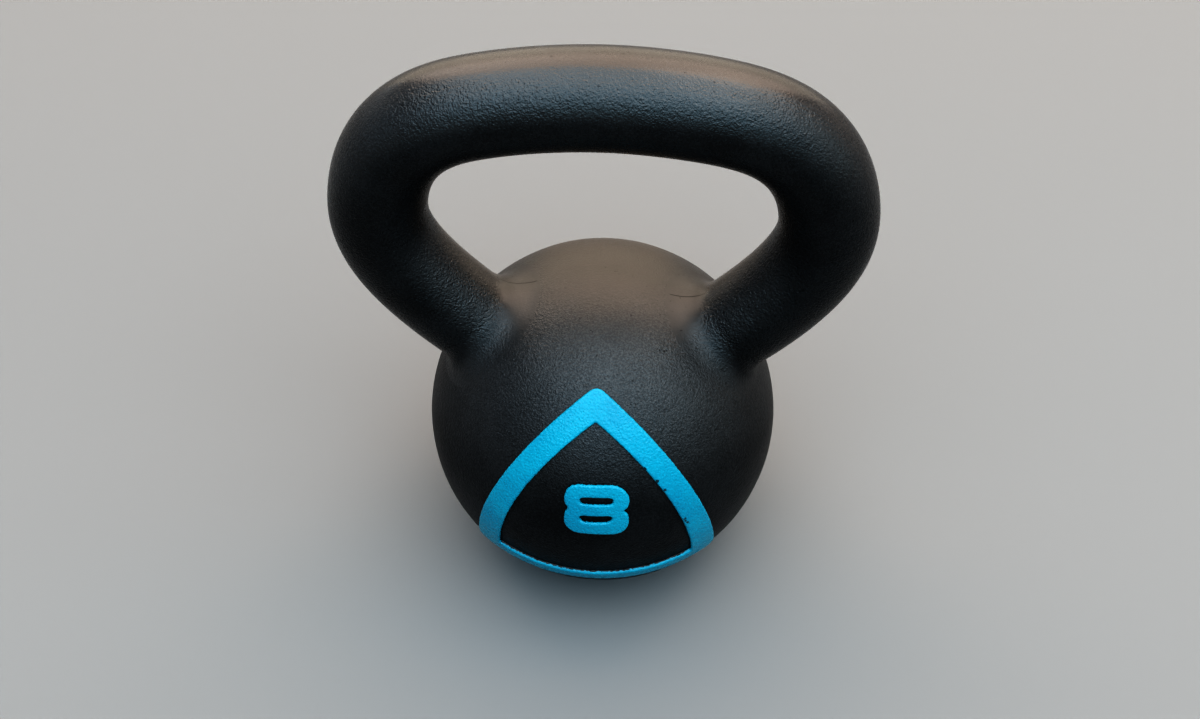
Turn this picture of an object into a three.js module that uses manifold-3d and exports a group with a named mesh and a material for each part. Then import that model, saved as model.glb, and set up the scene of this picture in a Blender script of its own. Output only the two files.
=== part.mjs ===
// Kettlebell: a round cast-iron ball with a flat base, a looped handle let
// into two sockets, a raised triangular frame and a raised weight numeral.
// Millimetres, +Z up. The flat base rests on z = 0 and the ball is centred on
// the Z axis. The handle lies in the XZ plane and the raised frame faces -Y.

import * as THREE from 'three';
import { NURBSCurve } from 'three/addons/curves/NURBSCurve.js';
import { mergeVertices } from 'three/addons/utils/BufferGeometryUtils.js';
import Module from 'manifold-3d';

const wasm = await Module();
wasm.setup();

// ---- driving dimensions -------------------------------------------------

const BALL_R = 60.0;                       // radius of the ball
const BASE_DROP = 0.82 * BALL_R;           // ball centre to the flat base
const BASE_EDGE_R = 2.0;                   // rounded edge of the flat base
const GRIP_R = 0.2608 * BALL_R;            // radius of the round bar (31.3 mm thick)
const SOCKET_GAP = 0.3;                    // bar to socket wall, all round
const RELIEF_GAP = 0.3;                    // raised pieces to the ball
const RELIEF_TOP = 1.3;                    // raised pieces stand this proud of the ball
const BADGE_TILT = THREE.MathUtils.degToRad(6.7); // badge centre, above the ball's equator

// Centre line of the bar, right half, as control points from the crown to the
// end inside the ball, in ball radii from the ball's centre.
const LOOP = [
  [0, 2.2759], [0.5755, 2.2104], [0.9691, 2.0859],
  [1.2224, 1.6617], [1.1715, 1.1389], [0.6164, 0.6323],
];

// Raised frame, in ball radii along the surface from the badge's centre:
// two side arcs, one bottom arc and rounded corners, symmetric left to right.
const FRAME_OUT = { cx: 1.1042, cy: -0.6665, rs: 1.8697, by: 4.0, rb: 4.5242, top: 0.070, low: 0.066 };
const FRAME_IN = { cx: 0.8584, cy: -0.5146, rs: 1.4428, by: 2.5652, rb: 2.9877, top: 0.012, low: 0.015 };

// Weight numeral, in ball radii along the surface: half widths and heights.
const NUM = {
  x: 0.010, half: 0.172, waist: 0.152, top: 0.302, mid: 0.142, bottom: -0.018,
  round: 0.066, slotHalf: 0.086, slots: [[0.188, 0.224], [0.066, 0.106]],
};

// ---- resolution ---------------------------------------------------------

const BALL_SEG = 72;
const BALL_ROWS = 30;
const BAR_SIDES = 26;
const BAR_STEPS = 84;

// ---- helpers ------------------------------------------------------------

// A closed three.js geometry as a manifold-3d solid.
function solid(geometry) {
  const g = geometry.clone();
  g.deleteAttribute('normal');
  g.deleteAttribute('uv');
  const m = mergeVertices(g, 1e-4);
  const index = [];
  const src = m.index.array;
  for (let i = 0; i < src.length; i += 3) {
    const [a, b, c] = [src[i], src[i + 1], src[i + 2]];
    if (a !== b && b !== c && c !== a) index.push(a, b, c);
  }
  return new wasm.Manifold(new wasm.Mesh({
    numProp: 3,
    vertProperties: new Float32Array(m.attributes.position.array),
    triVerts: new Uint32Array(index),
  }));
}

// A manifold-3d solid as a three.js geometry.
function geometryOf(body) {
  const mesh = body.getMesh();
  const g = new THREE.BufferGeometry();
  const n = mesh.numProp;
  const pos = new Float32Array((mesh.vertProperties.length / n) * 3);
  for (let i = 0, j = 0; i < mesh.vertProperties.length; i += n, j += 3) {
    pos[j] = mesh.vertProperties[i];
    pos[j + 1] = mesh.vertProperties[i + 1];
    pos[j + 2] = mesh.vertProperties[i + 2];
  }
  g.setAttribute('position', new THREE.BufferAttribute(pos, 3));
  g.setIndex(new THREE.BufferAttribute(new Uint32Array(mesh.triVerts), 1));
  g.computeVertexNormals();
  return g;
}

// Arc points from angle a to angle b about (x, y).
function arc(x, y, r, a, b, n) {
  const out = [];
  for (let i = 0; i <= n; i++) {
    const t = a + ((b - a) * i) / n;
    out.push(new THREE.Vector2(x + r * Math.cos(t), y + r * Math.sin(t)));
  }
  return out;
}

// ---- ball ---------------------------------------------------------------

// The ball's profile, turned about the Y axis of the lathe and stood up.
function ballProfile(r, flat) {
  if (!flat) return arc(0, 0, r, -Math.PI / 2, Math.PI / 2, BALL_ROWS + 6).map((p, i, all) => {
    if (i === 0 || i === all.length - 1) p.x = 0;
    return p;
  });
  const e = BASE_EDGE_R;
  // Fillet between the sphere and the base plane: its centre is e above the
  // base and r - e from the ball's centre.
  const fy = -BASE_DROP + e;
  const fx = Math.sqrt((r - e) ** 2 - fy ** 2);
  const join = Math.atan2(fy, fx);
  const points = [new THREE.Vector2(0, -BASE_DROP)];
  points.push(...arc(fx, fy, e, -Math.PI / 2, join, 4));
  points.push(...arc(0, 0, r, join, Math.PI / 2, BALL_ROWS).slice(1));
  points[points.length - 1].x = 0;
  return points;
}

function ballOf(r, flat) {
  const g = new THREE.LatheGeometry(ballProfile(r, flat), BALL_SEG);
  g.rotateX(Math.PI / 2);
  return solid(g);
}

// ---- bar ----------------------------------------------------------------

const DEGREE = 3;
const loopPoints = [
  ...LOOP.slice(1).reverse().map(([x, z]) => new THREE.Vector4(-x * BALL_R, 0, z * BALL_R, 1)),
  ...LOOP.map(([x, z]) => new THREE.Vector4(x * BALL_R, 0, z * BALL_R, 1)),
];
const spans = loopPoints.length - DEGREE;
const knots = [
  ...Array(DEGREE).fill(0),
  ...Array.from({ length: spans + 1 }, (_, i) => i / spans),
  ...Array(DEGREE).fill(1),
];
const centreLine = new NURBSCurve(DEGREE, knots, loopPoints);
centreLine.arcLengthDivisions = 800;

function barOf(radius, sides) {
  const section = new THREE.Shape(arc(0, 0, radius, 0, 2 * Math.PI, sides).slice(0, -1));
  return solid(new THREE.ExtrudeGeometry(section, {
    steps: BAR_STEPS, extrudePath: centreLine, curveSegments: sides,
  }));
}

// The bar's cutter: the same loop, wider by the gap and a little longer.
function socketCutter() {
  let cutter = barOf(GRIP_R + SOCKET_GAP, BAR_SIDES);
  for (const t of [0, 1]) {
    const p = centreLine.getPoint(t);
    const d = centreLine.getTangent(t).multiplyScalar(t === 0 ? -1 : 1);
    const cap = new THREE.CylinderGeometry(GRIP_R + SOCKET_GAP, GRIP_R + SOCKET_GAP, 4, BAR_SIDES);
    cap.applyQuaternion(new THREE.Quaternion().setFromUnitVectors(new THREE.Vector3(0, 1, 0), d));
    const c = p.clone().addScaledVector(d, -2 + SOCKET_GAP);
    cap.translate(c.x, c.y, c.z);
    cutter = cutter.add(solid(cap));
  }
  return cutter;
}

// ---- raised pieces ------------------------------------------------------

function crossing(a, ra, b, rb, pick) {
  const d = b.clone().sub(a);
  const D = d.length();
  const s = (ra * ra - rb * rb + D * D) / (2 * D);
  const h = Math.sqrt(Math.max(ra * ra - s * s, 0));
  const m = a.clone().addScaledVector(d, s / D);
  const n = new THREE.Vector2(-d.y, d.x).multiplyScalar(h / D);
  const [p, q] = [m.clone().add(n), m.clone().sub(n)];
  return pick(p) > pick(q) ? p : q;
}

// Outline of the frame, anticlockwise, in ball radii on the unrolled surface.
function frameOutline(f, sideSteps, lowSteps) {
  const side = new THREE.Vector2(-f.cx, f.cy);      // centre of the right-hand arc
  const other = new THREE.Vector2(f.cx, f.cy);
  const low = new THREE.Vector2(0, f.by);
  const apex = crossing(side, f.rs - f.top, other, f.rs - f.top, (p) => p.y);
  const foot = crossing(side, f.rs - f.low, low, f.rb - f.low, (p) => p.x);
  const angle = (p, c) => Math.atan2(p.y - c.y, p.x - c.x);
  const half = [
    ...arc(0, apex.y, f.top, Math.PI / 2, angle(apex, side), 5),
    ...arc(side.x, side.y, f.rs, angle(apex, side), angle(foot, side), sideSteps).slice(1),
    ...arc(foot.x, foot.y, f.low, angle(foot, side), angle(foot, low), 5).slice(1),
    ...arc(low.x, low.y, f.rb, angle(foot, low), -Math.PI / 2, lowSteps).slice(1),
  ];
  const mirror = half.slice(1, -1).reverse().map((p) => new THREE.Vector2(-p.x, p.y));
  return [...half, ...mirror].reverse();
}

// A flat outline, given along the surface, as a wedge that narrows to the
// ball's centre, so that its side walls stand square to the surface.
function wedge(outline, holes = []) {
  const flat = (p) => {
    const rho = Math.hypot(p.x, p.y);
    const k = rho < 1e-9 ? 1 : Math.tan(rho) / rho;
    return new THREE.Vector2(p.x * k, p.y * k);
  };
  const shape = new THREE.Shape(outline.map(flat));
  for (const h of holes) shape.holes.push(new THREE.Path(h.map(flat)));
  const g = new THREE.ExtrudeGeometry(shape, { depth: 1, steps: 1, bevelEnabled: false });
  const pos = g.attributes.position;
  const near = 0.5 * BALL_R * Math.cos(1.0);
  const far = 1.15 * BALL_R;
  for (let i = 0; i < pos.count; i++) {
    const d = near + (far - near) * pos.getZ(i);
    pos.setXYZ(i, pos.getX(i) * d, pos.getY(i) * d, d);
  }
  // Its own axis is +Z: lay it along -Y and raise it to the badge's centre.
  g.rotateX(Math.PI / 2);
  g.rotateX(-BADGE_TILT);
  return solid(g);
}

const shell = ballOf(BALL_R + RELIEF_TOP, false).subtract(ballOf(BALL_R + RELIEF_GAP, false));

function frameSolid() {
  return wedge(frameOutline(FRAME_OUT, 22, 10), [frameOutline(FRAME_IN, 18, 8).reverse()]).intersect(shell);
}

function numeralSolid() {
  const n = NUM;
  const r = n.round;
  const c = 0.7 * r;
  const right = [
    ...arc(n.half - r, n.top - r, r, Math.PI / 2, 0, 5),
    new THREE.Vector2(n.half, n.mid + 0.045),
    new THREE.Vector2(n.waist, n.mid),
    new THREE.Vector2(n.half, n.mid - 0.045),
    ...arc(n.half - c, n.bottom + c, c, 0, -Math.PI / 2, 5),
  ];
  const left = right.slice().reverse().map((p) => new THREE.Vector2(-p.x, p.y));
  const outline = [...right, ...left].reverse().map((p) => new THREE.Vector2(p.x + n.x, p.y));
  const holes = n.slots.map(([lo, hi], i) => {
    const w = n.slotHalf;
    const k = i === 0 ? 0.006 : 0.028;   // the lower slot tapers downwards
    return [[-w, hi], [w, hi], [w, lo + 0.5 * (hi - lo)], [w - k, lo], [-w + k, lo], [-w, lo + 0.5 * (hi - lo)]]
      .map(([x, y]) => new THREE.Vector2(x + n.x, y));
  });
  return wedge(outline, holes).intersect(shell);
}

// ---- assembly -----------------------------------------------------------

const castBlack = () => new THREE.MeshStandardMaterial({ color: 0x1b1d20, roughness: 0.62, metalness: 0.35 });
const enamelBlue = () => new THREE.MeshStandardMaterial({ color: 0x0f9fd0, roughness: 0.45, metalness: 0.0 });

function piece(name, body, material) {
  const m = new THREE.Mesh(geometryOf(body), material);
  m.name = name;
  return m;
}

const kettlebell = new THREE.Group();
kettlebell.name = 'kettlebell';
kettlebell.position.z = BASE_DROP;
kettlebell.add(
  piece('ball', ballOf(BALL_R, true).subtract(socketCutter()), castBlack()),
  piece('handle', barOf(GRIP_R, BAR_SIDES), castBlack()),
  piece('badge_frame', frameSolid(), enamelBlue()),
  piece('numeral_8', numeralSolid(), enamelBlue()),
);

export default kettlebell;
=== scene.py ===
"""Kettlebell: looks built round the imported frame. Metres, +Z up, +Y away from the badge side."""

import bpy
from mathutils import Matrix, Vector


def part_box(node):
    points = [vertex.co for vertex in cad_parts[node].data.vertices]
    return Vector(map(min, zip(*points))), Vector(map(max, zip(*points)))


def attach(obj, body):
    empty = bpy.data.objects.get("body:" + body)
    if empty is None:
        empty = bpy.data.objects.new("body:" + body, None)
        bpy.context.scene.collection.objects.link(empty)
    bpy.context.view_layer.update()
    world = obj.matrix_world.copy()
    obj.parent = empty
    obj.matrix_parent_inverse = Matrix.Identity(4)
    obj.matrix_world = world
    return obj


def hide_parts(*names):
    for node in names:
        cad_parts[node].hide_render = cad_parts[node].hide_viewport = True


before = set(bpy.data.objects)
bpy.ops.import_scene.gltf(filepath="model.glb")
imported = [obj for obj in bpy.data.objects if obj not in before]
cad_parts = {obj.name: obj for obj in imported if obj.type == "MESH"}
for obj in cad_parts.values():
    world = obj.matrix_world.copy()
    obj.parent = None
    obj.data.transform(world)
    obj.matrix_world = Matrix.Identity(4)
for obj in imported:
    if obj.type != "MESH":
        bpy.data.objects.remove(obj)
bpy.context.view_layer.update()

import math

import bpy
import numpy as np
from mathutils import Matrix, Vector, geometry, noise

# ---- dimensions, in millimetres (the same as the CAD part's) -------------------

R = 60.0                                   # ball
DROP = 0.82 * R                            # ball centre above the base
EDGE = 2.0                                 # rounded edge of the flat base
GRIP = 0.2608 * R                          # radius of the bar
TILT = math.radians(6.7)                   # badge centre above the equator
TOP = 1.25                                 # raised pieces above the ball
LOOP = [(0, 2.2759), (0.5755, 2.2104), (0.9691, 2.0859), (1.2224, 1.6617), (1.1715, 1.1389), (0.6164, 0.6323)]
FRAME_OUT = dict(cx=1.1042, cy=-0.6665, rs=1.8697, by=4.0, rb=4.5242, top=0.070, low=0.066)
FRAME_IN = dict(cx=0.8584, cy=-0.5146, rs=1.4428, by=2.5652, rb=2.9877, top=0.014, low=0.017)

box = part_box("ball")
assert abs((box[1][0] - box[0][0]) * 500 - R) < 0.2 and abs(box[1][2] * 1000 - DROP - R) < 0.2, "ball differs from the CAD"
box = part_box("handle")
assert abs(box[1][2] * 1000 - DROP - LOOP[0][1] * R) < GRIP + 3, "handle differs from the CAD"


# ---- helpers -------------------------------------------------------------------

def put_mesh(name, verts, faces, smooth=True):
    """A mesh object from millimetre points about the ball's centre."""
    v = np.asarray(verts, dtype=np.float64) * 0.001
    v[:, 2] += DROP * 0.001
    me = bpy.data.meshes.new(name)
    me.from_pydata(v.tolist(), [], [tuple(f) for f in faces])
    me.validate()
    me.update()
    if smooth:
        me.polygons.foreach_set("use_smooth", np.ones(len(me.polygons), dtype=bool))
    ob = bpy.data.objects.new(name, me)
    bpy.context.scene.collection.objects.link(ob)
    return ob


def waviness(p):
    """Slow unevenness of a sand casting under its coat, in mm, at points p (n, 3) in mm."""
    out = np.empty(len(p))
    for i, (x, y, z) in enumerate(p):
        a = noise.noise(Vector((x * 0.030 + 3.1, y * 0.030 - 1.7, z * 0.030 + 8.2)))
        b = noise.noise(Vector((x * 0.085 - 5.3, y * 0.085 + 2.9, z * 0.085 + 0.4)))
        out[i] = 0.10 * a + 0.035 * b
    return out


# ---- ball ----------------------------------------------------------------------

def build_ball():
    seg = 480
    fz = -DROP + EDGE
    fx = math.sqrt((R - EDGE) ** 2 - fz ** 2)
    join = math.atan2(fz, fx)
    prof = [(fx * k / 22.0, -DROP) for k in range(1, 23)]
    prof += [(fx + EDGE * math.cos(t), fz + EDGE * math.sin(t)) for t in np.linspace(-math.pi / 2, join, 10)[1:]]
    prof += [(R * math.cos(t), R * math.sin(t)) for t in np.linspace(join, math.pi / 2, 172)[1:-1]]
    prof = np.array(prof)
    ang = np.arange(seg) * 2 * math.pi / seg
    x = prof[:, 0][:, None] * np.cos(ang)[None]
    y = prof[:, 0][:, None] * np.sin(ang)[None]
    z = np.repeat(prof[:, 1][:, None], seg, 1)
    pts = np.stack([x, y, z], -1).reshape(-1, 3)
    pts = np.vstack([pts, [[0, 0, -DROP], [0, 0, R]]])
    # the flat base stays flat, the rest carries the casting's slow unevenness
    n = pts / np.linalg.norm(pts, axis=1)[:, None]
    keep = np.clip((pts[:, 2] + DROP - 0.5) / 8.0, 0, 1)
    pts = pts + n * (waviness(pts) * keep * keep * (3 - 2 * keep))[:, None]
    m = len(prof)
    faces = []
    for i in range(m - 1):
        a, b = i * seg, (i + 1) * seg
        for j in range(seg):
            k = (j + 1) % seg
            faces.append((a + j, a + k, b + k, b + j))
    low, top = len(pts) - 2, len(pts) - 1
    for j in range(seg):
        k = (j + 1) % seg
        faces.append((low, k, j))
        faces.append((top, (m - 1) * seg + j, (m - 1) * seg + k))
    return put_mesh("ball_cast", pts, faces)


# ---- handle --------------------------------------------------------------------

def bspline(ctrl, u):
    """A clamped cubic B-spline and its first derivative at u (0 to 1)."""
    ctrl = np.asarray(ctrl, float)
    n, p = len(ctrl), 3
    inner = n - p
    t = np.concatenate([[0] * (p + 1), np.arange(1, inner), [inner] * (p + 1)]) / inner

    def value(c, deg, kn, u):
        m = len(c)
        span = np.clip(np.searchsorted(kn, u, side="right") - 1, deg, m - 1)
        d = [c[span - deg + j].copy() for j in range(deg + 1)]
        for r in range(1, deg + 1):
            for j in range(deg, r - 1, -1):
                i = span - deg + j
                lo, hi = kn[i], kn[i + deg - r + 1]
                a = ((u - lo) / (hi - lo))[:, None]
                d[j] = (1 - a) * d[j - 1] + a * d[j]
        return d[deg]

    dc = np.array([p * (ctrl[i + 1] - ctrl[i]) / (t[i + p + 1] - t[i + 1]) for i in range(n - 1)])
    return value(ctrl, p, t, u), value(dc, p - 1, t[1:-1], u)


HALF = [(x * R, z * R) for x, z in LOOP]
CTRL = [(-x, z) for x, z in reversed(HALF[1:])] + HALF
_u = np.linspace(0, 1, 8001)
_c, _d = bspline(CTRL, _u)
_s = np.concatenate([[0], np.cumsum(np.linalg.norm(np.diff(_c, axis=0), axis=1))])
_s -= _s[-1] / 2                           # 0 at the crown
_t = _d / np.linalg.norm(_d, axis=1)[:, None]
# straight on past both ends
_ext = 40.0
S = np.concatenate([[_s[0] - _ext], _s, [_s[-1] + _ext]])
CX = np.concatenate([[_c[0, 0] - _t[0, 0] * _ext], _c[:, 0], [_c[-1, 0] + _t[-1, 0] * _ext]])
CZ = np.concatenate([[_c[0, 1] - _t[0, 1] * _ext], _c[:, 1], [_c[-1, 1] + _t[-1, 1] * _ext]])
TX = np.concatenate([[_t[0, 0]], _t[:, 0], [_t[-1, 0]]])
TZ = np.concatenate([[_t[0, 1]], _t[:, 1], [_t[-1, 1]]])


def at(s):
    return np.interp(s, S, CX), np.interp(s, S, CZ), np.interp(s, S, TX), np.interp(s, S, TZ)


def tube(p, s):
    """Distance of points p from the bar's surface, from a first guess s of the nearest place on its centre line."""
    for _ in range(7):
        cx, cz, tx, tz = at(s)
        s = s + 0.8 * ((p[:, 0] - cx) * tx + (p[:, 2] - cz) * tz)
    cx, cz, tx, tz = at(s)
    return np.sqrt((p[:, 0] - cx) ** 2 + p[:, 1] ** 2 + (p[:, 2] - cz) ** 2) - GRIP, s


# the right root: where the centre line meets the ball
_r = np.hypot(CX, CZ)
_i = np.where((S > 60) & (_r > R))[0][-1]
S_ROOT = S[_i] + (_r[_i] - R) / (_r[_i] - _r[_i + 1]) * (S[_i + 1] - S[_i])
_x, _z, _tx, _tz = at(np.array([S_ROOT]))
AXIS = np.array([_x[0], 0, _z[0]]) / math.hypot(_x[0], _z[0])
OUT = np.array([AXIS[2], 0, -AXIS[0]])     # on the ball, away from the window
FLAT = np.array([0.0, 1.0, 0.0])


def blend_size(phi):
    """Size of the blend into the ball round the root: 0 faces out, pi faces the window, the sides are front and back."""
    turn = np.abs(np.arctan2(np.sin(phi), np.cos(phi)))
    t = np.clip((turn - math.radians(5)) / math.radians(75), 0, 1)
    return 2.0 + 6.0 * t * t * (3 - 2 * t)


def union(p, s):
    a = np.linalg.norm(p, axis=1) - R
    b, s = tube(p, s)
    k = blend_size(np.arctan2(p @ FLAT, p @ OUT))
    h = np.maximum(k - np.abs(a - b), 0) / k
    return np.minimum(a, b) - h * h * k / 4, s


def build_handle():
    sides = 176
    phi = np.arange(sides) * 2 * math.pi / sides
    s_end = S_ROOT - 12.0                  # the last ring square to the bar
    main = np.linspace(-s_end, s_end, 371)
    cx, cz, tx, tz = at(main)
    rings = np.zeros((len(main), sides, 3))
    rings[..., 0] = cx[:, None] + GRIP * np.cos(phi)[None] * -tz[:, None]
    rings[..., 1] = GRIP * np.sin(phi)[None]
    rings[..., 2] = cz[:, None] + GRIP * np.cos(phi)[None] * tx[:, None]
    # the flared root: rays from a point inside the ball to the union of bar and ball
    qx, qz, _, _ = at(np.array([S_ROOT + 10.0]))
    q = np.array([qx[0], 0, qz[0]])
    d0 = rings[-1] - q
    d0 /= np.linalg.norm(d0, axis=1)[:, None]
    around = np.cos(phi)[:, None] * OUT[None] + np.sin(phi)[:, None] * FLAT[None]
    lo, hi = np.full(sides, GRIP / R * 0.8), np.full(sides, 0.85)
    k = blend_size(phi)
    for _ in range(40):
        mid = (lo + hi) / 2
        e = R * (np.cos(mid)[:, None] * AXIS[None] + np.sin(mid)[:, None] * around)
        far = tube(e, np.full(sides, S_ROOT))[0] > k + 0.5
        hi = np.where(far, mid, hi)
        lo = np.where(far, lo, mid)
    edge = R * (np.cos(hi)[:, None] * AXIS[None] + np.sin(hi)[:, None] * around)
    d1 = edge - q
    d1 /= np.linalg.norm(d1, axis=1)[:, None]
    fine = 220
    w = np.linspace(0, 1, fine)
    om = np.arccos(np.clip((d0 * d1).sum(1), -1, 1))
    dirs = (np.sin((1 - w)[:, None, None] * om[None, :, None]) * d0[None]
            + np.sin(w[:, None, None] * om[None, :, None]) * d1[None]) / np.sin(om)[None, :, None]
    dirs = dirs.reshape(-1, 3)
    t0, t1 = np.full(len(dirs), 4.0), np.full(len(dirs), 60.0)
    s = np.full(len(dirs), S_ROOT)
    for _ in range(26):
        tm = (t0 + t1) / 2
        f, s = union(q + dirs * tm[:, None], s)
        t1 = np.where(f > 0, tm, t1)
        t0 = np.where(f > 0, t0, tm)
    flare = (q + dirs * t1[:, None]).reshape(fine, sides, 3)
    flare[0] = rings[-1]
    flare[-1] = edge
    # even spacing along each line
    step = np.linalg.norm(np.diff(flare, axis=0), axis=2)
    run = np.vstack([np.zeros(sides), np.cumsum(step, axis=0)])
    rows = 50
    want = np.linspace(0, 1, rows + 1)[1:]
    skirt = np.zeros((rows, sides, 3))
    for j in range(sides):
        for c in range(3):
            skirt[:, j, c] = np.interp(want * run[-1, j], run[:, j], flare[:, j, c])
    # a hair proud of the ball, then slowly tucked under it
    n = skirt / np.linalg.norm(skirt, axis=2)[..., None]
    skirt = skirt + n * 0.004
    tucks = []
    for further, height in ((0.5, 0.001), (1.0, -0.005), (1.6, -0.02), (2.2, -0.05), (2.6, -0.5), (2.6, -2.0)):
        a = (hi + further / R)[:, None]
        tucks.append((R + height) * (np.cos(a) * AXIS[None] + np.sin(a) * around))
    right = np.concatenate([skirt, np.array(tucks)])
    left = right[::-1].copy()
    left[..., 0] *= -1
    # the left root's rings run the same way round as the bar's
    allr = np.concatenate([left, rings, right])
    m = len(allr)
    pts = allr.reshape(-1, 3)
    # slow unevenness, along the surface normal taken from the grid
    g = allr
    du = np.roll(g, -1, 1) - np.roll(g, 1, 1)
    dv = np.gradient(g, axis=0)
    nn = np.cross(du, dv)
    nn /= np.linalg.norm(nn, axis=2)[..., None] + 1e-12
    centre = g.mean(1)[:, None, :]
    if ((g - centre) * nn)[m // 2].sum() < 0:
        nn = -nn
    # the last rings lie on the ball and move with it
    nn[:8] = g[:8] / np.linalg.norm(g[:8], axis=2)[..., None]
    nn[-8:] = g[-8:] / np.linalg.norm(g[-8:], axis=2)[..., None]
    pts = pts + nn.reshape(-1, 3) * waviness(pts)[:, None]
    faces = []
    for i in range(m - 1):
        a, b = i * sides, (i + 1) * sides
        for j in range(sides):
            k2 = (j + 1) % sides
            faces.append((a + j, a + k2, b + k2, b + j))
    end_a, end_b = len(pts), len(pts) + 1
    ql = q.copy()
    ql[0] *= -1
    pts = np.vstack([pts, [ql * 0.9, q * 0.9]])
    for j in range(sides):
        k2 = (j + 1) % sides
        faces.append((end_a, k2, j))
        faces.append((end_b, (m - 1) * sides + j, (m - 1) * sides + k2))
    ob = put_mesh("handle_cast", pts, faces)
    return ob


# ---- raised pieces on the ball ---------------------------------------------------

def on_ball(u, v, h):
    """Badge coordinates (mm along the ball from the badge's centre, v up) and a height to points about the ball's centre."""
    d = np.hypot(u, v)
    a = d / R
    k = np.where(d > 1e-9, np.sin(a) / np.maximum(d, 1e-9), 1.0 / R)
    right = np.array([1.0, 0, 0])
    up = np.array([0, math.sin(TILT), math.cos(TILT)])
    out = np.array([0, -math.cos(TILT), math.sin(TILT)])
    p = np.cos(a)[:, None] * out + (k * u)[:, None] * right + (k * v)[:, None] * up
    return p * (R + h)[:, None]


def meet(c1, r1, c2, r2, pick):
    """Where two circles cross; pick chooses one of the two by a key."""
    d = math.dist(c1, c2)
    a = (r1 * r1 - r2 * r2 + d * d) / (2 * d)
    h = math.sqrt(max(r1 * r1 - a * a, 0))
    ex, ey = (c2[0] - c1[0]) / d, (c2[1] - c1[1]) / d
    px, py = c1[0] + a * ex, c1[1] + a * ey
    both = [(px - h * ey, py + h * ex), (px + h * ey, py - h * ex)]
    return max(both, key=pick)


def rounded_triangle(f, step):
    """The badge outline: two side arcs and a bottom arc with rounded corners, counter-clockwise, in mm."""
    side_l, side_r = (-f["cx"], f["cy"]), (f["cx"], f["cy"])   # centres; the right side is an arc about the left centre
    bot = (0.0, f["by"])
    rs, rb, rt, rl = f["rs"], f["rb"], f["top"], f["low"]
    apex = meet(side_l, rs - rt, side_r, rs - rt, lambda p: p[1])
    low_r = meet(side_l, rs - rl, bot, rb - rl, lambda p: p[0])
    low_l = (-low_r[0], low_r[1])

    def arc(c, r, p0, p1):
        a0 = math.atan2(p0[1] - c[1], p0[0] - c[0])
        a1 = math.atan2(p1[1] - c[1], p1[0] - c[0])
        while a1 < a0:
            a1 += 2 * math.pi
        n = max(5, int(abs(a1 - a0) * r * R / step))
        t = np.linspace(a0, a1, n + 1)[:-1]
        return np.stack([c[0] + r * np.cos(t), c[1] + r * np.sin(t)], 1)

    def touch(c, r, k, q):
        d = math.dist(c, k)
        return (c[0] + (k[0] - c[0]) / d * r, c[1] + (k[1] - c[1]) / d * r)

    # tangent points
    tr_top, tl_top = touch(side_l, rs, apex, 0), touch(side_r, rs, apex, 0)
    r_low, r_bot = touch(side_l, rs, low_r, 0), touch(bot, rb, low_r, 0)
    l_low, l_bot = touch(side_r, rs, low_l, 0), touch(bot, rb, low_l, 0)
    parts = [
        arc(side_l, rs, r_low, tr_top),
        arc(apex, rt, tr_top, tl_top),
        arc(side_r, rs, tl_top, l_low),
        arc(low_l, rl, l_low, l_bot),
        arc(bot, rb, l_bot, r_bot),
        arc(low_r, rl, r_bot, r_low),
    ]
    return np.vstack(parts) * R


def even(loop, step):
    """A closed loop resampled evenly."""
    p = np.vstack([loop, loop[:1]])
    s = np.concatenate([[0], np.cumsum(np.linalg.norm(np.diff(p, axis=0), axis=1))])
    n = max(12, int(round(s[-1] / step)))
    w = np.linspace(0, s[-1], n + 1)[:-1]
    return np.stack([np.interp(w, s, p[:, 0]), np.interp(w, s, p[:, 1])], 1)


def normals(loop):
    """Left-hand normals of a closed loop: inwards for a counter-clockwise one."""
    t = np.roll(loop, -1, 0) - np.roll(loop, 1, 0)
    t /= np.linalg.norm(t, axis=1)[:, None] + 1e-12
    return np.stack([-t[:, 1], t[:, 0]], 1)


def smooth_closed(v, times):
    for _ in range(times):
        v = 0.25 * np.roll(v, 1, 0) + 0.5 * v + 0.25 * np.roll(v, -1, 0)
    return v


def inside_loops(p, loops):
    """Even-odd test of points p against closed loops."""
    c = np.zeros(len(p), int)
    for L in loops:
        a, b = L, np.roll(L, -1, 0)
        for i in range(len(a)):
            (x1, y1), (x2, y2) = a[i], b[i]
            if y1 == y2:
                continue
            hit = ((y1 > p[:, 1]) != (y2 > p[:, 1])) & (p[:, 0] < (x2 - x1) * (p[:, 1] - y1) / (y2 - y1) + x1)
            c += hit
    return c % 2 == 1


# wall and rounded shoulder of a raised piece: distance in from the outline, height above the ball
PROFILE = [(-0.10, -0.35), (-0.02, 0.05), (0.05, 0.45), (0.10, 0.72), (0.18, 0.93), (0.31, 1.08), (0.49, 1.18), (0.72, 1.23), (1.0, 1.25)]


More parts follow.
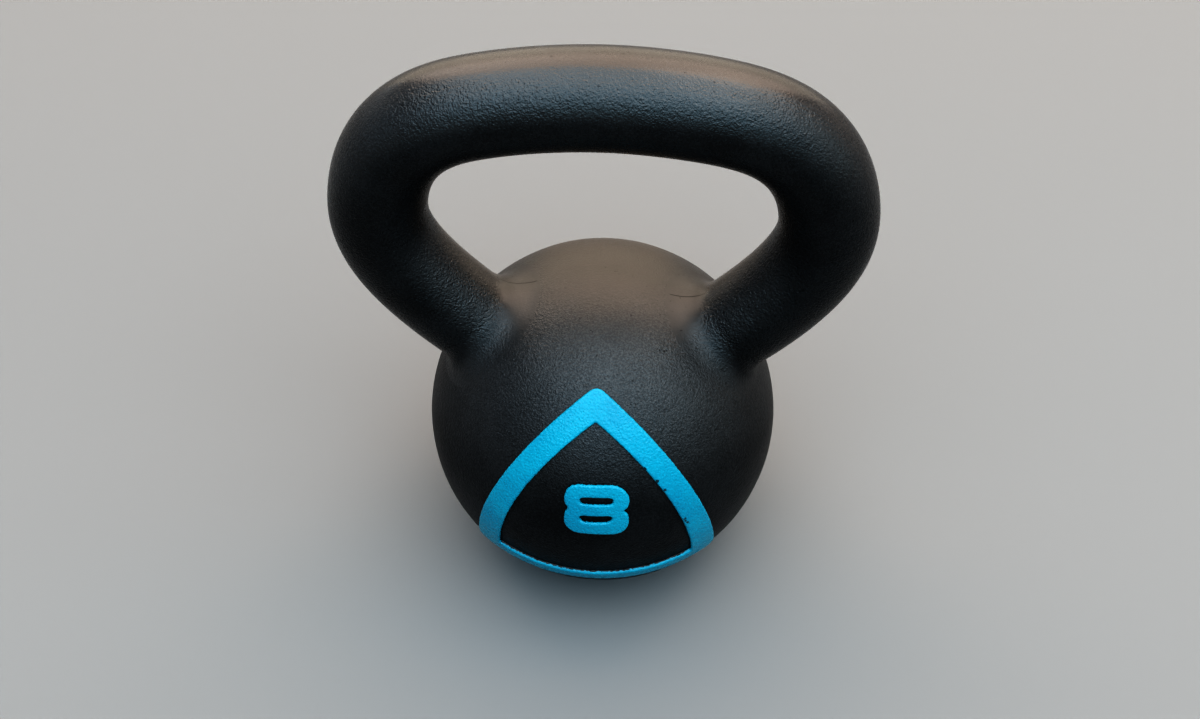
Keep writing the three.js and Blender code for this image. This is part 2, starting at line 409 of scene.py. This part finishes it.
def slab(name, loops, step=0.36, fill=0.75, wobble=0.10, seed=0.0, profile=PROFILE):
    """A raised piece wrapped on the ball: loops are its outline (counter-clockwise) and holes (clockwise), in mm."""
    verts, faces, rim = [], [], []
    for n_loop, loop in enumerate(loops):
        loop = even(loop, step)
        nrm = normals(loop)
        jit = np.array([
            noise.noise(Vector((x * 1.15 + seed, y * 1.15, n_loop * 7.7))) * 0.75
            + noise.noise(Vector((x * 0.25 + seed, y * 0.25, 4.0 + n_loop))) * 0.35
            for x, y in loop])
        rows = []
        for i, (d, h) in enumerate(profile):
            amp = wobble * (1 - min(1, max(0, d) / 1.4))
            q = loop + nrm * (d + jit * amp)[:, None]
            rows.append(q)
            verts.append(on_ball(q[:, 0], q[:, 1], np.full(len(q), h)))
        n = len(loop)
        base = sum(len(v) for v in verts) - n * len(profile)
        for i in range(len(profile) - 1):
            a, b = base + i * n, base + (i + 1) * n
            for j in range(n):
                k = (j + 1) % n
                faces.append((a + j, a + k, b + k, b + j))
        rim.append((rows[-1], base + (len(profile) - 1) * n, rows[0], base))
    # the top, filled with a triangulation that has points of its own, so that it follows the ball
    top2 = np.vstack([r[0] for r in rim])
    lo, hi = top2.min(0), top2.max(0)
    grid = []
    y, row = lo[1], 0
    while y < hi[1]:
        xs = np.arange(lo[0] + (0.5 * fill if row % 2 else 0), hi[0], fill)
        grid.append(np.stack([xs, np.full(len(xs), y)], 1))
        y += fill * 0.866
        row += 1
    grid = np.vstack(grid)
    grid = grid[inside_loops(grid, [r[0] for r in rim])]
    near = np.min(np.linalg.norm(grid[:, None] - top2[None], axis=2), axis=1)
    grid = grid[near > fill * 0.55]
    pts = [Vector((float(x), float(y))) for x, y in np.vstack([top2, grid])]
    edges, start = [], 0
    for r in rim:
        n = len(r[0])
        edges += [(start + j, start + (j + 1) % n) for j in range(n)]
        start += n
    vo, _, fo, orig, _, _ = geometry.delaunay_2d_cdt(pts, edges, [], 0, 1e-6)
    vo = np.array([[v[0], v[1]] for v in vo])
    mids = np.array([vo[list(f)].mean(0) for f in fo])
    ok = inside_loops(mids, [r[0] for r in rim])
    base_top = sum(len(v) for v in verts)
    where = {}
    extra = []
    order = []
    for r in rim:
        order += list(range(r[1], r[1] + len(r[0])))
    for i, src in enumerate(orig):
        hit = [k for k in src if k < len(order)]
        if hit:
            where[i] = order[hit[0]]
        else:
            where[i] = base_top + len(extra)
            extra.append(vo[i])
    if extra:
        e = np.array(extra)
        verts.append(on_ball(e[:, 0], e[:, 1], np.full(len(e), profile[-1][1])))
    for f, good in zip(fo, ok):
        if good:
            f = [where[i] for i in f]
            if len(set(f)) == len(f):
                faces.append(tuple(f))
    # the underside, out of sight inside the ball
    foot2 = np.vstack([r[2] for r in rim])
    pts = [Vector((float(x), float(y))) for x, y in foot2]
    vo, _, fo, orig, _, _ = geometry.delaunay_2d_cdt(pts, edges, [], 0, 1e-6)
    vo = np.array([[v[0], v[1]] for v in vo])
    order = []
    for r in rim:
        order += list(range(r[3], r[3] + len(r[2])))
    ok = inside_loops(np.array([vo[list(f)].mean(0) for f in fo]), [r[2] for r in rim])
    for f, good in zip(fo, ok):
        if good and all(orig[i] for i in f):
            f = [order[orig[i][0]] for i in f]
            if len(set(f)) == 3:
                faces.append(tuple(reversed(f)))
    allv = np.vstack(verts)
    w = waviness(allv)
    allv = allv + allv / np.linalg.norm(allv, axis=1)[:, None] * w[:, None]
    return put_mesh(name, allv, faces)


def catmull(points, per=10):
    """A closed smooth loop through points."""
    p = np.asarray(points, float)
    n = len(p)
    out = []
    for i in range(n):
        a, b, c, d = p[(i - 1) % n], p[i], p[(i + 1) % n], p[(i + 2) % n]
        for t in np.linspace(0, 1, per, endpoint=False):
            out.append(0.5 * ((2 * b) + (-a + c) * t + (2 * a - 5 * b + 4 * c - d) * t ** 2
                              + (-a + 3 * b - 3 * c + d) * t ** 3))
    return np.array(out)


def build_frame():
    outer = rounded_triangle(FRAME_OUT, 0.3)
    inner = rounded_triangle(FRAME_IN, 0.12)[::-1]
    return slab("badge_band", [outer, inner], wobble=0.16, seed=1.3)


def build_eight():
    outer = [(-0.040, -0.018), (0.050, -0.020), (0.124, -0.017), (0.164, 0.003), (0.187, 0.040), (0.191, 0.085),
             (0.184, 0.118), (0.166, 0.139), (0.166, 0.145), (0.184, 0.165), (0.193, 0.200), (0.189, 0.232),
             (0.170, 0.264), (0.140, 0.290), (0.100, 0.304), (0.040, 0.304), (-0.020, 0.304), (-0.080, 0.303),
             (-0.118, 0.294), (-0.142, 0.272), (-0.157, 0.240), (-0.160, 0.204), (-0.154, 0.176), (-0.143, 0.160),
             (-0.144, 0.142), (-0.156, 0.120), (-0.161, 0.080), (-0.158, 0.048), (-0.144, 0.020), (-0.118, -0.004),
             (-0.084, -0.016)]
    up = [(-0.066, 0.192), (-0.072, 0.206), (-0.066, 0.221), (-0.040, 0.226), (0.020, 0.226), (0.080, 0.226),
          (0.098, 0.219), (0.101, 0.206), (0.096, 0.192), (0.070, 0.186), (0.010, 0.186), (-0.040, 0.187)]
    low = [(-0.052, 0.070), (-0.070, 0.084), (-0.072, 0.100), (-0.058, 0.109), (-0.020, 0.109), (0.040, 0.109),
           (0.084, 0.109), (0.097, 0.100), (0.092, 0.082), (0.070, 0.069), (0.020, 0.066), (-0.020, 0.066)]
    loops = [catmull(outer) * R, catmull(up)[::-1] * R, catmull(low)[::-1] * R]
    for i, L in enumerate(loops):
        area = 0.5 * np.sum(L[:, 0] * np.roll(L[:, 1], -1) - np.roll(L[:, 0], -1) * L[:, 1])
        if (area > 0) != (i == 0):
            loops[i] = L[::-1]
    return slab("badge_eight", loops, step=0.26, fill=0.62, wobble=0.11, seed=9.1)


# ---- materials -------------------------------------------------------------------

def new_material(name):
    m = bpy.data.materials.new(name)
    m.use_nodes = True
    nt = m.node_tree
    nt.nodes.clear()
    out = nt.nodes.new("ShaderNodeOutputMaterial")
    bsdf = nt.nodes.new("ShaderNodeBsdfPrincipled")
    nt.links.new(bsdf.outputs["BSDF"], out.inputs["Surface"])
    return m, nt, bsdf


class Net:
    """Short names for building node trees."""

    def __init__(self, nt):
        self.nt = nt
        self.co = nt.nodes.new("ShaderNodeTexCoord").outputs["Object"]

    def link(self, a, b):
        self.nt.links.new(a, b)

    def feed(self, socket, value):
        if hasattr(value, "is_linked") or hasattr(value, "links"):
            self.nt.links.new(value, socket)
        else:
            socket.default_value = value

    def noise(self, scale, detail=2.0, rough=0.5, distort=0.0, co=None):
        n = self.nt.nodes.new("ShaderNodeTexNoise")
        n.inputs["Scale"].default_value = scale
        n.inputs["Detail"].default_value = detail
        n.inputs["Roughness"].default_value = rough
        n.inputs["Distortion"].default_value = distort
        self.link(co or self.co, n.inputs["Vector"])
        return n.outputs["Fac"]

    def voronoi(self, scale, feature="F1", smooth=0.5, co=None, rand=1.0):
        n = self.nt.nodes.new("ShaderNodeTexVoronoi")
        n.feature = feature
        n.inputs["Scale"].default_value = scale
        n.inputs["Randomness"].default_value = rand
        if feature == "SMOOTH_F1":
            n.inputs["Smoothness"].default_value = smooth
        self.link(co or self.co, n.inputs["Vector"])
        return n.outputs["Distance"]

    def math(self, op, a, b=0.0, clamp=False):
        n = self.nt.nodes.new("ShaderNodeMath")
        n.operation = op
        n.use_clamp = clamp
        self.feed(n.inputs[0], a)
        if op not in ("ABSOLUTE", "SQRT", "SINE", "COSINE"):
            self.feed(n.inputs[1], b)
        return n.outputs[0]

    def range(self, v, a, b, c=0.0, d=1.0, smooth=True):
        n = self.nt.nodes.new("ShaderNodeMapRange")
        n.interpolation_type = "SMOOTHSTEP" if smooth else "LINEAR"
        n.clamp = True
        for i, x in zip(("From Min", "From Max", "To Min", "To Max"), (a, b, c, d)):
            n.inputs[i].default_value = x
        self.link(v, n.inputs["Value"])
        return n.outputs["Result"]

    def mix(self, fac, a, b):
        n = self.nt.nodes.new("ShaderNodeMix")
        n.data_type = "RGBA"
        n.clamp_factor = True
        self.feed(n.inputs[0], fac)
        ia, ib = n.inputs[6], n.inputs[7]
        for sock, v in ((ia, a), (ib, b)):
            if isinstance(v, tuple):
                sock.default_value = (*v, 1.0) if len(v) == 3 else v
            else:
                self.link(v, sock)
        return n.outputs[2]

    def bump(self, height, distance, strength=1.0, normal=None):
        n = self.nt.nodes.new("ShaderNodeBump")
        n.inputs["Distance"].default_value = distance
        n.inputs["Strength"].default_value = strength
        self.link(height, n.inputs["Height"])
        if normal is not None:
            self.link(normal, n.inputs["Normal"])
        return n.outputs["Normal"]

    def xyz(self, co=None):
        n = self.nt.nodes.new("ShaderNodeSeparateXYZ")
        self.link(co or self.co, n.inputs[0])
        return n.outputs

    def side(self):
        """The way the surface's own side looks, along the part's axes."""
        return self.nt.nodes.new("ShaderNodeTexCoord").outputs["Normal"]

    def facing(self, way):
        """1 where the surface looks straight that way, 0 where it is square to it."""
        n = self.nt.nodes.new("ShaderNodeVectorMath")
        n.operation = "DOT_PRODUCT"
        self.link(self.side(), n.inputs[0])
        n.inputs[1].default_value = way
        return n.outputs["Value"]

    def sum(self, first, *others):
        for other in others:
            first = self.math("ADD", first, other)
        return first

    def stray(self, scale, size, detail=2.0):
        """Noise round zero, of a given size, to make an edge ragged."""
        return self.math("MULTIPLY", self.math("SUBTRACT", self.noise(scale, detail, 0.6), 0.5), size)

    def spots(self, places, scale, raggedness):
        """1 in small ragged spots at the places (x, y, z, radius), in millimetres; 0 elsewhere."""
        found = None
        for x, y, z, r in places:
            d = self.sum(self.dist((x * 0.001, y * 0.001, z * 0.001)), self.stray(scale, raggedness))
            one = self.range(d, r * 0.001, r * 0.00125, 1.0, 0.0)
            found = one if found is None else self.math("MAXIMUM", found, one)
        return found

    def dist(self, point, co=None):
        n = self.nt.nodes.new("ShaderNodeVectorMath")
        n.operation = "DISTANCE"
        self.link(co or self.co, n.inputs[0])
        n.inputs[1].default_value = point
        return n.outputs["Value"]


def coat_material(name, root):
    """Textured black powder coat on cast iron: satin on the ball, a little glossier and coarser on the handle.

    On the handle the finish turns into the ball's over the last few millimetres of the root."""
    m, nt, bsdf = new_material(name)
    n = Net(nt)
    x, y, z = n.xyz()
    from_ball = n.dist((0, 0, DROP * 0.001))
    if root:
        away = n.range(from_ball, R * 0.001 + 0.0005, R * 0.001 + 0.008)
    # grain: worm-like ridges under a millimetre apart with finer pebbles on them and a soft orange peel below
    ridge = n.noise(1150.0 if root else 1300.0, 1.6, 0.62, 0.35)
    cells = n.voronoi(1900.0 if root else 2100.0, "SMOOTH_F1", 0.35)
    peel = n.noise(330.0 if root else 480.0, 1.0, 0.5)
    height = n.sum(ridge, n.math("MULTIPLY", cells, 0.30), n.math("MULTIPLY", peel, 0.40))
    if root:
        # hands have rubbed the grain down along the top and the back of the grip; it is coarsest on the horns
        worn = n.sum(n.facing((0.0, 0.42, 0.91)), n.stray(60.0, 0.10, 3.0))
        height = n.math("MULTIPLY", height, n.range(worn, 0.52, 0.77, 1.0, 0.20))
        height = n.math("MULTIPLY", height, n.range(z, 0.112, 0.165, 1.55, 1.0))
        height = n.math("MULTIPLY", height, n.range(away, 0.0, 1.0, 0.7, 1.0))
    # colour: slow patches, fine pepper
    patch = n.noise(38.0, 4.0, 0.6)
    pepper = n.noise(1700.0, 1.0, 0.5)
    f = n.sum(n.math("MULTIPLY", patch, 0.55), n.math("MULTIPLY", pepper, 0.45))
    dark, light = (0.004, 0.0043, 0.0047), (0.012, 0.0124, 0.013)
    bsdf.inputs["Base Color"].default_value = (*dark, 1)
    col = n.mix(n.range(f, 0.36, 0.66), dark, light)
    # a thin grey haze on the sides that look up: a painted highlight of the light from above, where the ball has also
    # been rubbed and the grain is flatter
    bloom_and_sheen = n.range(n.sum(n.facing((0.0, 0.45, 0.89)), n.stray(140.0, 0.10, 4.0)), 0.54, 0.74, 0.0, 0.65)
    if root:
        bloom_and_sheen = n.math("MULTIPLY", bloom_and_sheen, n.math("SUBTRACT", 1.0, away))
    col = n.mix(bloom_and_sheen, col, (0.0190, 0.0192, 0.0192))
    # a faint tan lies on the top of the ball and runs a little way up the horns' inner sides: partly a dusting, partly
    # a painted reflection of the warm light from behind; the grain is flatter under it
    dust_and_warm_sheen = n.range(n.sum(n.facing((0.0, 0.45, 0.89)), n.stray(140.0, 0.12, 4.0)), 0.68, 0.98)
    dust_and_warm_sheen = n.math("MULTIPLY", dust_and_warm_sheen, n.range(n.math("ABSOLUTE", x), 0.016, 0.030, 1.0, 0.3))
    if root:
        # on the horns the tan is laid on the sides that look up and in towards the window: painted reflection of the
        # warm light
        inner = n.math("DIVIDE", n.math("MULTIPLY", x, n.xyz(n.side())[0]), n.math("ABSOLUTE", x))
        up = n.sum(n.facing((0.0, 0.25, 0.97)), n.math("MULTIPLY", inner, -0.55), n.stray(140.0, 0.14, 4.0))
        up = n.math("MULTIPLY", n.range(up, 0.84, 1.08), n.range(z, 0.132, 0.168, 1.0, 0.0))
        dust_and_warm_sheen = n.sum(n.math("MULTIPLY", dust_and_warm_sheen, n.math("SUBTRACT", 1.0, away)), n.math("MULTIPLY", up, away))
    # the tan is paler on the sides that face back, towards the warm light: painted reflection
    col = n.mix(dust_and_warm_sheen, col, n.mix(n.range(n.xyz(n.side())[1], 0.10, 0.46), (0.0212, 0.0179, 0.0145), (0.0340, 0.0282, 0.0222)))
    height = n.math("MULTIPLY", height, n.range(dust_and_warm_sheen, 0.0, 1.0, 1.0, 0.55))
    height = n.math("MULTIPLY", height, n.range(bloom_and_sheen, 0.0, 0.65, 1.0, 0.70))
    nt.links.new(n.bump(height, 0.00027 if root else 0.00025), bsdf.inputs["Normal"])
    # a hairline of the casting's parting across each root, and a few small marks
    line = n.math("ABSOLUTE", n.sum(n.math("SUBTRACT", y, n.range(x, -0.001, 0.001, 0.0058, 0.0014)), n.stray(160.0, 0.0010)))
    line = n.math("MULTIPLY", n.range(line, 0.00008, 0.00022, 1.0, 0.0), n.range(from_ball, R * 0.001 + 0.004, R * 0.001 + 0.007, 1.0, 0.0))
    line = n.math("MULTIPLY", line, n.range(n.math("ABSOLUTE", x), 0.0215, 0.0225))
    line = n.math("MULTIPLY", line, n.range(z, 0.098, 0.100))
    marks = [(18.6, -21.4, 102.2, 0.22), (19.3, -21.5, 101.9, 0.26), (20.0, -21.2, 101.8, 0.20), (20.8, -21.3, 101.4, 0.30),
             (21.6, -21.0, 101.2, 0.22), (-2.9, -18.1, 106.3, 0.24), (-2.3, -18.6, 106.2, 0.18)]
    if root:
        marks = [(49.2, 1.3, 123.8, 0.26), (48.5, 0.9, 122.8, 0.20), (47.4, 0.1, 121.3, 0.26), (-30.7, 10.7, 101.5, 0.24)]
    hurt = n.math("MAXIMUM", n.math("MULTIPLY", line, 0.90), n.math("MULTIPLY", n.spots(marks, 1500.0, 0.0007), 0.75))
    # rare pits in the coat
    hurt = n.math("MAXIMUM", hurt, n.math("MULTIPLY", n.range(n.noise(760.0, 0.0), 0.80, 0.86), 0.45))
    nt.links.new(n.mix(hurt, col, (0.0022, 0.0022, 0.0022)), bsdf.inputs["Base Color"])
    # specular level: sides that look down are given less, painted shade that keeps the floor's reflection off them; the
    # ball in front of the window, where a forearm rests, is given a little more, a painted highlight; the horns are
    # given less than the bar, painted shade
    gloss_and_shade = n.range(n.xyz(n.side())[2], 0.06 if root else 0.16, 0.42 if root else 0.62, 0.42 if root else 0.34, 1.0)
    rub_highlight = n.math("MULTIPLY", n.range(n.xyz(n.side())[2], 0.74, 0.90), n.range(y, -0.0125, 0.0, 1.0, 0.0))
    rub_highlight = n.math("MULTIPLY", rub_highlight, n.range(n.math("ABSOLUTE", x), 0.006, 0.024, 0.10, 0.28))
    if root:
        rub_highlight = n.math("MULTIPLY", rub_highlight, n.math("SUBTRACT", 1.0, away))
        horn_shade = n.math("MULTIPLY", n.range(n.math("ABSOLUTE", x), 0.036, 0.056, 1.0, 0.86), n.range(x, 0.030, 0.056, 1.0, 0.90))
        gloss_and_shade = n.math("MULTIPLY", gloss_and_shade, n.sum(n.math("MULTIPLY", horn_shade, away), n.math("SUBTRACT", 1.0, away)))
    gloss_and_shade = n.math("MULTIPLY", gloss_and_shade, n.math("ADD", 1.0, rub_highlight))
    if not root:
        # the ball's left flank is given less specular level: painted shade
        gloss_and_shade = n.math("MULTIPLY", gloss_and_shade, n.range(x, -0.052, -0.040, 0.65, 1.0))
        speckle = n.math("MULTIPLY", n.math("SUBTRACT", n.range(pepper, 0.34, 0.66, 0.0, 0.34), 0.17), n.math("SUBTRACT", 1.0, dust_and_warm_sheen))
        gloss_and_shade = n.math("MULTIPLY", gloss_and_shade, n.math("ADD", 1.0, speckle))
    gloss_and_shade = n.math("MULTIPLY", gloss_and_shade, n.math("SUBTRACT", 1.0, n.math("MULTIPLY", hurt, 0.8)))
    r = n.sum(n.math("MULTIPLY", n.noise(55.0, 3.0, 0.6), 0.14), n.math("MULTIPLY", n.noise(900.0, 1.0), 0.12))
    if root:
        r = n.sum(r, n.range(away, 0.0, 1.0, 0.42 - 0.13, 0.28 - 0.13))
        gloss_and_shade = n.math("MULTIPLY", gloss_and_shade, n.math("MULTIPLY", n.range(away, 0.0, 0.25, 1.0, 0.86), n.range(away, 0.25, 1.0, 0.46, 0.66)))
    else:
        r = n.sum(r, 0.42 - 0.13)
        gloss_and_shade = n.math("MULTIPLY", gloss_and_shade, 0.46)
    nt.links.new(r, bsdf.inputs["Roughness"])
    bsdf.inputs["Specular IOR Level"].default_value = 0.57 if root else 0.46
    nt.links.new(gloss_and_shade, bsdf.inputs["Specular IOR Level"])
    return m


def enamel_material(name):
    m, nt, bsdf = new_material(name)
    n = Net(nt)
    cells = n.voronoi(1150.0, "SMOOTH_F1", 0.7)
    fine = n.noise(1900.0, 2.0, 0.5)
    height = n.math("ADD", n.math("MULTIPLY", cells, 0.8), n.math("MULTIPLY", fine, 0.4))
    nt.links.new(n.bump(height, 0.00021), bsdf.inputs["Normal"])
    patch = n.noise(48.0, 4.0, 0.62)
    col = n.mix(n.range(patch, 0.33, 0.67), (0.001, 0.178, 0.256), (0.002, 0.218, 0.296))
    # the coat shows at the foot of the walls, where the paint stops; the black reaches about a third of the way up the
    # walls to stand in for the shade in the groove at their foot: painted shade
    height_above = n.math("SUBTRACT", n.dist((0, 0, DROP * 0.001)), R * 0.001)
    ragged = n.math("ADD", height_above, n.math("MULTIPLY", n.math("SUBTRACT", n.noise(1100.0, 2.0), 0.5), 0.0012))
    paint_above_shaded_foot = n.range(ragged, 0.00040, 0.00052)
    # chips along the right arm's inner edge
    chips = n.spots([(29.6, -53.2, 55.9, 0.45), (29.9, -53.1, 54.8, 0.40), (30.5, -52.8, 53.6, 0.45), (16.0, -51.4, 78.3, 0.55),
                     (20.1, -52.5, 73.6, 0.55), (22.6, -52.9, 69.8, 0.40)], 1500.0, 0.0010)
    paint_above_shaded_foot = n.math("MULTIPLY", paint_above_shaded_foot, n.math("SUBTRACT", 1.0, n.math("MULTIPLY", chips, 0.85)))
    col = n.mix(paint_above_shaded_foot, (0.006, 0.0065, 0.0075), col)
    nt.links.new(col, bsdf.inputs["Base Color"])
    r = n.math("ADD", n.math("MULTIPLY", n.noise(300.0, 2.0), 0.18), 0.18)
    nt.links.new(r, bsdf.inputs["Roughness"])
    bsdf.inputs["Specular IOR Level"].default_value = 0.24
    return m


# ---- pieces ----------------------------------------------------------------------

ball = build_ball()
handle = build_handle()
band = build_frame()
eight = build_eight()

ball.data.materials.append(coat_material("ball_coat", False))
handle.data.materials.append(coat_material("handle_coat", True))
enamel = enamel_material("blue_paint")
band.data.materials.append(enamel)
eight.data.materials.append(enamel)

for piece, node, where in ((ball, "ball", "coated_iron"), (handle, "handle", "coated_handle"),
                           (band, "badge_frame", "blue_enamel"), (eight, "numeral_8", "blue_enamel")):
    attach(piece, "root")
    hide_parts(node)

# ---- floor -----------------------------------------------------------------------

me = bpy.data.meshes.new("floor")
rim = [(2.25 * math.cos(t * math.pi / 48), 2.25 * math.sin(t * math.pi / 48), 0) for t in range(96)]
me.from_pydata(rim, [], [tuple(range(96))])
floor = bpy.data.objects.new("floor", me)
floor.location.z = -0.0002
bpy.context.scene.collection.objects.link(floor)
m, nt, bsdf = new_material("floor_pale")
bsdf.inputs["Base Color"].default_value = (0.150, 0.149, 0.148, 1)
n = Net(nt)
# the floor is a little paler far out, where less of the light reaches it
nt.links.new(n.mix(n.range(n.dist((0, 0, 0)), 1.3, 2.25), (0.146, 0.145, 0.144), (0.19, 0.19, 0.19)), bsdf.inputs["Base Color"])
bsdf.inputs["Roughness"].default_value = 0.9
bsdf.inputs["Specular IOR Level"].default_value = 0.2
me.materials.append(m)

# ---- camera ----------------------------------------------------------------------

cam_data = bpy.data.cameras.new("camera")
cam_data.sensor_fit = "HORIZONTAL"
cam_data.sensor_width = 36.0
cam_data.lens = 48.3727
cam_data.clip_start, cam_data.clip_end = 0.01, 50
cam = bpy.data.objects.new("camera", cam_data)
bpy.context.scene.collection.objects.link(cam)
right, up, back = (0.9987193, 0.0505727, -0.001452), (-0.0355424, 0.7217455, 0.6912454), (0.0360061, -0.6903085, 0.7226186)
place = Vector((0.3166489, -6.3488492, 7.0598758)) * R * 0.001 + Vector((0, 0, DROP * 0.001))
cam.matrix_world = Matrix((
    (right[0], up[0], back[0], place[0]),
    (right[1], up[1], back[1], place[1]),
    (right[2], up[2], back[2], place[2]),
    (0, 0, 0, 1)))
bpy.context.scene.camera = cam
bpy.context.scene.view_settings.view_transform = "Standard"
bpy.context.scene.view_settings.look = "Very High Contrast"

# ---- light -----------------------------------------------------------------------

LIGHTS = [
    # name, azimuth (0 in front, 90 on the right), elevation, distance, size x, size y, power, colour
    ("back_08", 180.0, 8.0, 2.2, 3.4, 0.42, 5.2, (1.0, 0.86, 0.70)),
    ("back_20", 180.0, 20.0, 2.2, 3.6, 0.48, 8.4, (1.0, 0.85, 0.67)),
    ("back_32", 180.0, 32.0, 2.2, 3.8, 0.48, 9.5, (1.0, 0.84, 0.68)),
    ("back_57", 180.0, 57.5, 2.2, 3.6, 1.60, 64.0, (1.0, 0.82, 0.69)),
    ("over", 0.0, 80.3, 2.1, 3.4, 1.72, 57.0, (0.84, 0.94, 1.0)),
    ("front_45", 0.0, 45.0, 2.6, 3.4, 1.39, 44.0, (0.60, 0.84, 1.0)),
    ("front_18", 10.0, 18.0, 2.4, 2.6, 0.70, 7.0, (0.38, 0.80, 1.0)),
    ("right_45", 72.0, 45.0, 2.5, 2.2, 1.45, 18.2, (0.83, 0.94, 1.0)),
    ("right_15", 70.0, 16.0, 2.4, 1.8, 0.60, 6.6, (0.70, 0.92, 1.0)),
    ("left_50", -78.0, 52.0, 2.5, 2.0, 1.20, 1.8, (0.55, 0.74, 1.0)),
    ("left_15", -75.0, 15.0, 2.4, 1.8, 0.60, 2.0, (0.50, 0.74, 1.0)),
    ("back_right_66", 118.0, 66.0, 2.3, 1.3, 1.00, 6.0, (1.0, 0.86, 0.76)),
    ("back_right_42", 122.0, 42.0, 2.4, 1.8, 1.30, 3.4, (1.0, 0.80, 0.70)),
    ("back_left_42", -122.0, 42.0, 2.4, 1.8, 1.30, 3.0, (0.70, 0.86, 1.0)),
    ("back_right_12", 118.0, 12.0, 2.3, 1.9, 0.60, 3.2, (1.0, 0.84, 0.73)),
    ("back_left_12", -118.0, 12.0, 2.3, 1.9, 0.60, 2.2, (0.88, 0.94, 1.0)),
]
target = Vector((0, 0, 0.08))
for name, az, el, dist, sx, sy, power, colour in LIGHTS:
    d = bpy.data.lights.new(name, "AREA")
    d.shape = "RECTANGLE"
    d.size, d.size_y = sx, sy
    d.energy = power
    d.color = colour
    o = bpy.data.objects.new(name, d)
    a, e = math.radians(az), math.radians(el)
    way = Vector((math.sin(a) * math.cos(e), -math.cos(a) * math.cos(e), math.sin(e)))
    o.location = target + way * dist
    o.rotation_mode = "QUATERNION"
    o.rotation_quaternion = (-way).to_track_quat("-Z", "Y")
    o.visible_camera = False
    bpy.context.scene.collection.objects.link(o)

world = bpy.data.worlds.new("world")
bpy.context.scene.world = world
world.use_nodes = True
bg = world.node_tree.nodes.get("Background") or world.node_tree.nodes.new("ShaderNodeBackground")
way = world.node_tree.nodes.new("ShaderNodeTexCoord")
part = world.node_tree.nodes.new("ShaderNodeSeparateXYZ")
world.node_tree.links.new(way.outputs["Generated"], part.inputs[0])
fade = world.node_tree.nodes.new("ShaderNodeMapRange")
fade.interpolation_type = "SMOOTHSTEP"
for key, value in (("From Min", 0.30), ("From Max", 0.75), ("To Min", 0.34), ("To Max", 0.05)):
    fade.inputs[key].default_value = value
world.node_tree.links.new(part.outputs[2], fade.inputs["Value"])
world.node_tree.links.new(fade.outputs["Result"], bg.inputs["Strength"])
bg.inputs["Color"].default_value = (1.0, 0.99, 0.98, 1)
out = world.node_tree.nodes.get("World Output") or world.node_tree.nodes.new("ShaderNodeOutputWorld")
world.node_tree.links.new(bg.outputs[0], out.inputs["Surface"])
